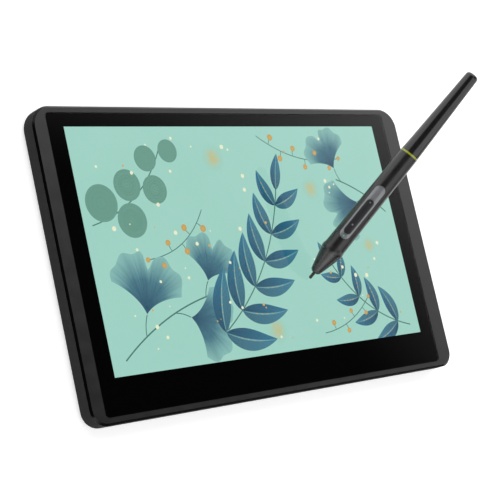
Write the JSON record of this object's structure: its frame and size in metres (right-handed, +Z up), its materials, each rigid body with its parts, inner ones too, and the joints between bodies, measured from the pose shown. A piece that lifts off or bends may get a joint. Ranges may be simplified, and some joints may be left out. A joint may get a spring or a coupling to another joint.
{
  "type": "pen display tablet",
  "caption": "Slim drawing tablet with a screen under flush glass in a grey frame on rubber feet, and its pen standing nib down at a slant on the glass.",
  "frame": {"origin": "on the desk under the middle of the tablet's outline, at the underside of the rubber feet", "axes": "+X to the right along the tablet's long side, +Y away from the user, +Z up out of the screen"},
  "size_m": [0.3018, 0.1818, 0.1173],
  "materials": {
    "frame_plastic": "satin dark grey, fine moulded grain",
    "shell_plastic": "matt dark grey, fine moulded grain",
    "cover_glass": "clear, finely etched",
    "black_print": "black printed border",
    "tape": "black foam tape",
    "screen": null,
    "optical_film": "white film",
    "light_guide": "clear acrylic",
    "sheet_metal": "plain rolled",
    "aluminium_plate": "plain rolled",
    "board_green": "green solder mask",
    "flex_amber": "amber polyimide",
    "chip_black": "moulded chip packages",
    "connector_ivory": "moulded connector housings",
    "screw_steel": "black zinc plated",
    "socket_steel": "stamped and nickel plated",
    "tongue_black": "moulded",
    "foot_rubber": "matt",
    "light_pipe": "clear, tinted by its light",
    "pen_nib": "fine matt",
    "pen_nose": "satin",
    "pen_grip": "soft-touch satin",
    "pen_ring": "yellow-green",
    "pen_barrel": "satin dark grey",
    "pen_inlay": "silver grey",
    "pen_rocker": "black",
    "ferrite": "dark grey ceramic",
    "copper_wire": "enamelled copper"
  },
  "bodies": {
    "tablet": {"front_frame": "frame_plastic", "back_shell": "shell_plastic", "cover_glass": "cover_glass", "black_mask": "black_print", "glass_tape": "tape", "lcd_cell": "screen", "diffuser_film": "optical_film", "light_guide": "light_guide", "reflector_sheet": "optical_film", "led_strip": "board_green", "panel_frame": "tongue_black", "panel_tray": "sheet_metal", "digitizer_board": "board_green", "shield_sheet": "sheet_metal", "support_plate": "aluminium_plate", "plate_screws": "screw_steel", "case_screws": "screw_steel", "lcd_driver_board": "board_green", "lcd_flex_strips": "flex_amber", "main_board": "board_green", "board_screws": "screw_steel", "board_chips": "chip_black", "board_shield_can": "sheet_metal", "board_connectors": "connector_ivory", "display_cable": "flex_amber", "digitizer_cable": "flex_amber", "usb_port_1": "socket_steel", "usb_port_2": "socket_steel", "usb_tongue_1": "tongue_black", "usb_tongue_2": "tongue_black", "power_switch": "chip_black", "power_light_pipe": "light_pipe", "rubber_foot_1": "foot_rubber", "rubber_foot_2": "foot_rubber", "rubber_foot_3": "foot_rubber", "rubber_foot_4": "foot_rubber"},
    "power_button": {"power_button": "frame_plastic"},
    "pen": {"pen_nose_cone": "pen_nose", "pen_grip_barrel": "pen_grip", "pen_accent_ring": "pen_ring", "pen_rear_barrel": "pen_barrel", "pen_switch_inlay": "pen_inlay", "pen_rocker_pin": "screw_steel", "pen_light_pipe": "light_pipe", "pen_ferrite_core": "ferrite", "pen_coil": "copper_wire", "pen_pressure_sensor": "sheet_metal", "pen_circuit_board": "board_green", "pen_side_switches": "socket_steel"},
    "nib": {"pen_nib": "pen_nib", "pen_nib_holder": "tongue_black"},
    "rocker": {"pen_rocker": "pen_rocker"}
  },
  "joints": [
    {"name": "power_press", "type": "slide", "parent": "tablet", "child": "power_button", "axis": [0, -1, 0], "range_m": [0, 0.0005], "stiffness_N_per_m": 400, "springref_m": -0.001},
    {"name": "pen_lift", "type": "slide", "parent": "tablet", "child": "pen", "axis": [0.4882, 0.6144, 0.6198], "range_m": [0, 0.08]},
    {"name": "nib_press", "type": "slide", "parent": "pen", "child": "nib", "axis": [0.4882, 0.6144, 0.6198], "range_m": [0, 0.0006], "stiffness_N_per_m": 1000, "springref_m": -0.0003},
    {"name": "rocker_tip", "type": "hinge", "parent": "pen", "child": "rocker", "pos_m": [0.05423, 0.00774, 0.04715], "axis": [-0.4878, 0.781, -0.39], "range_deg": [-2.5, 2.5], "stiffness_Nm_per_rad": 0.2}
  ]
}
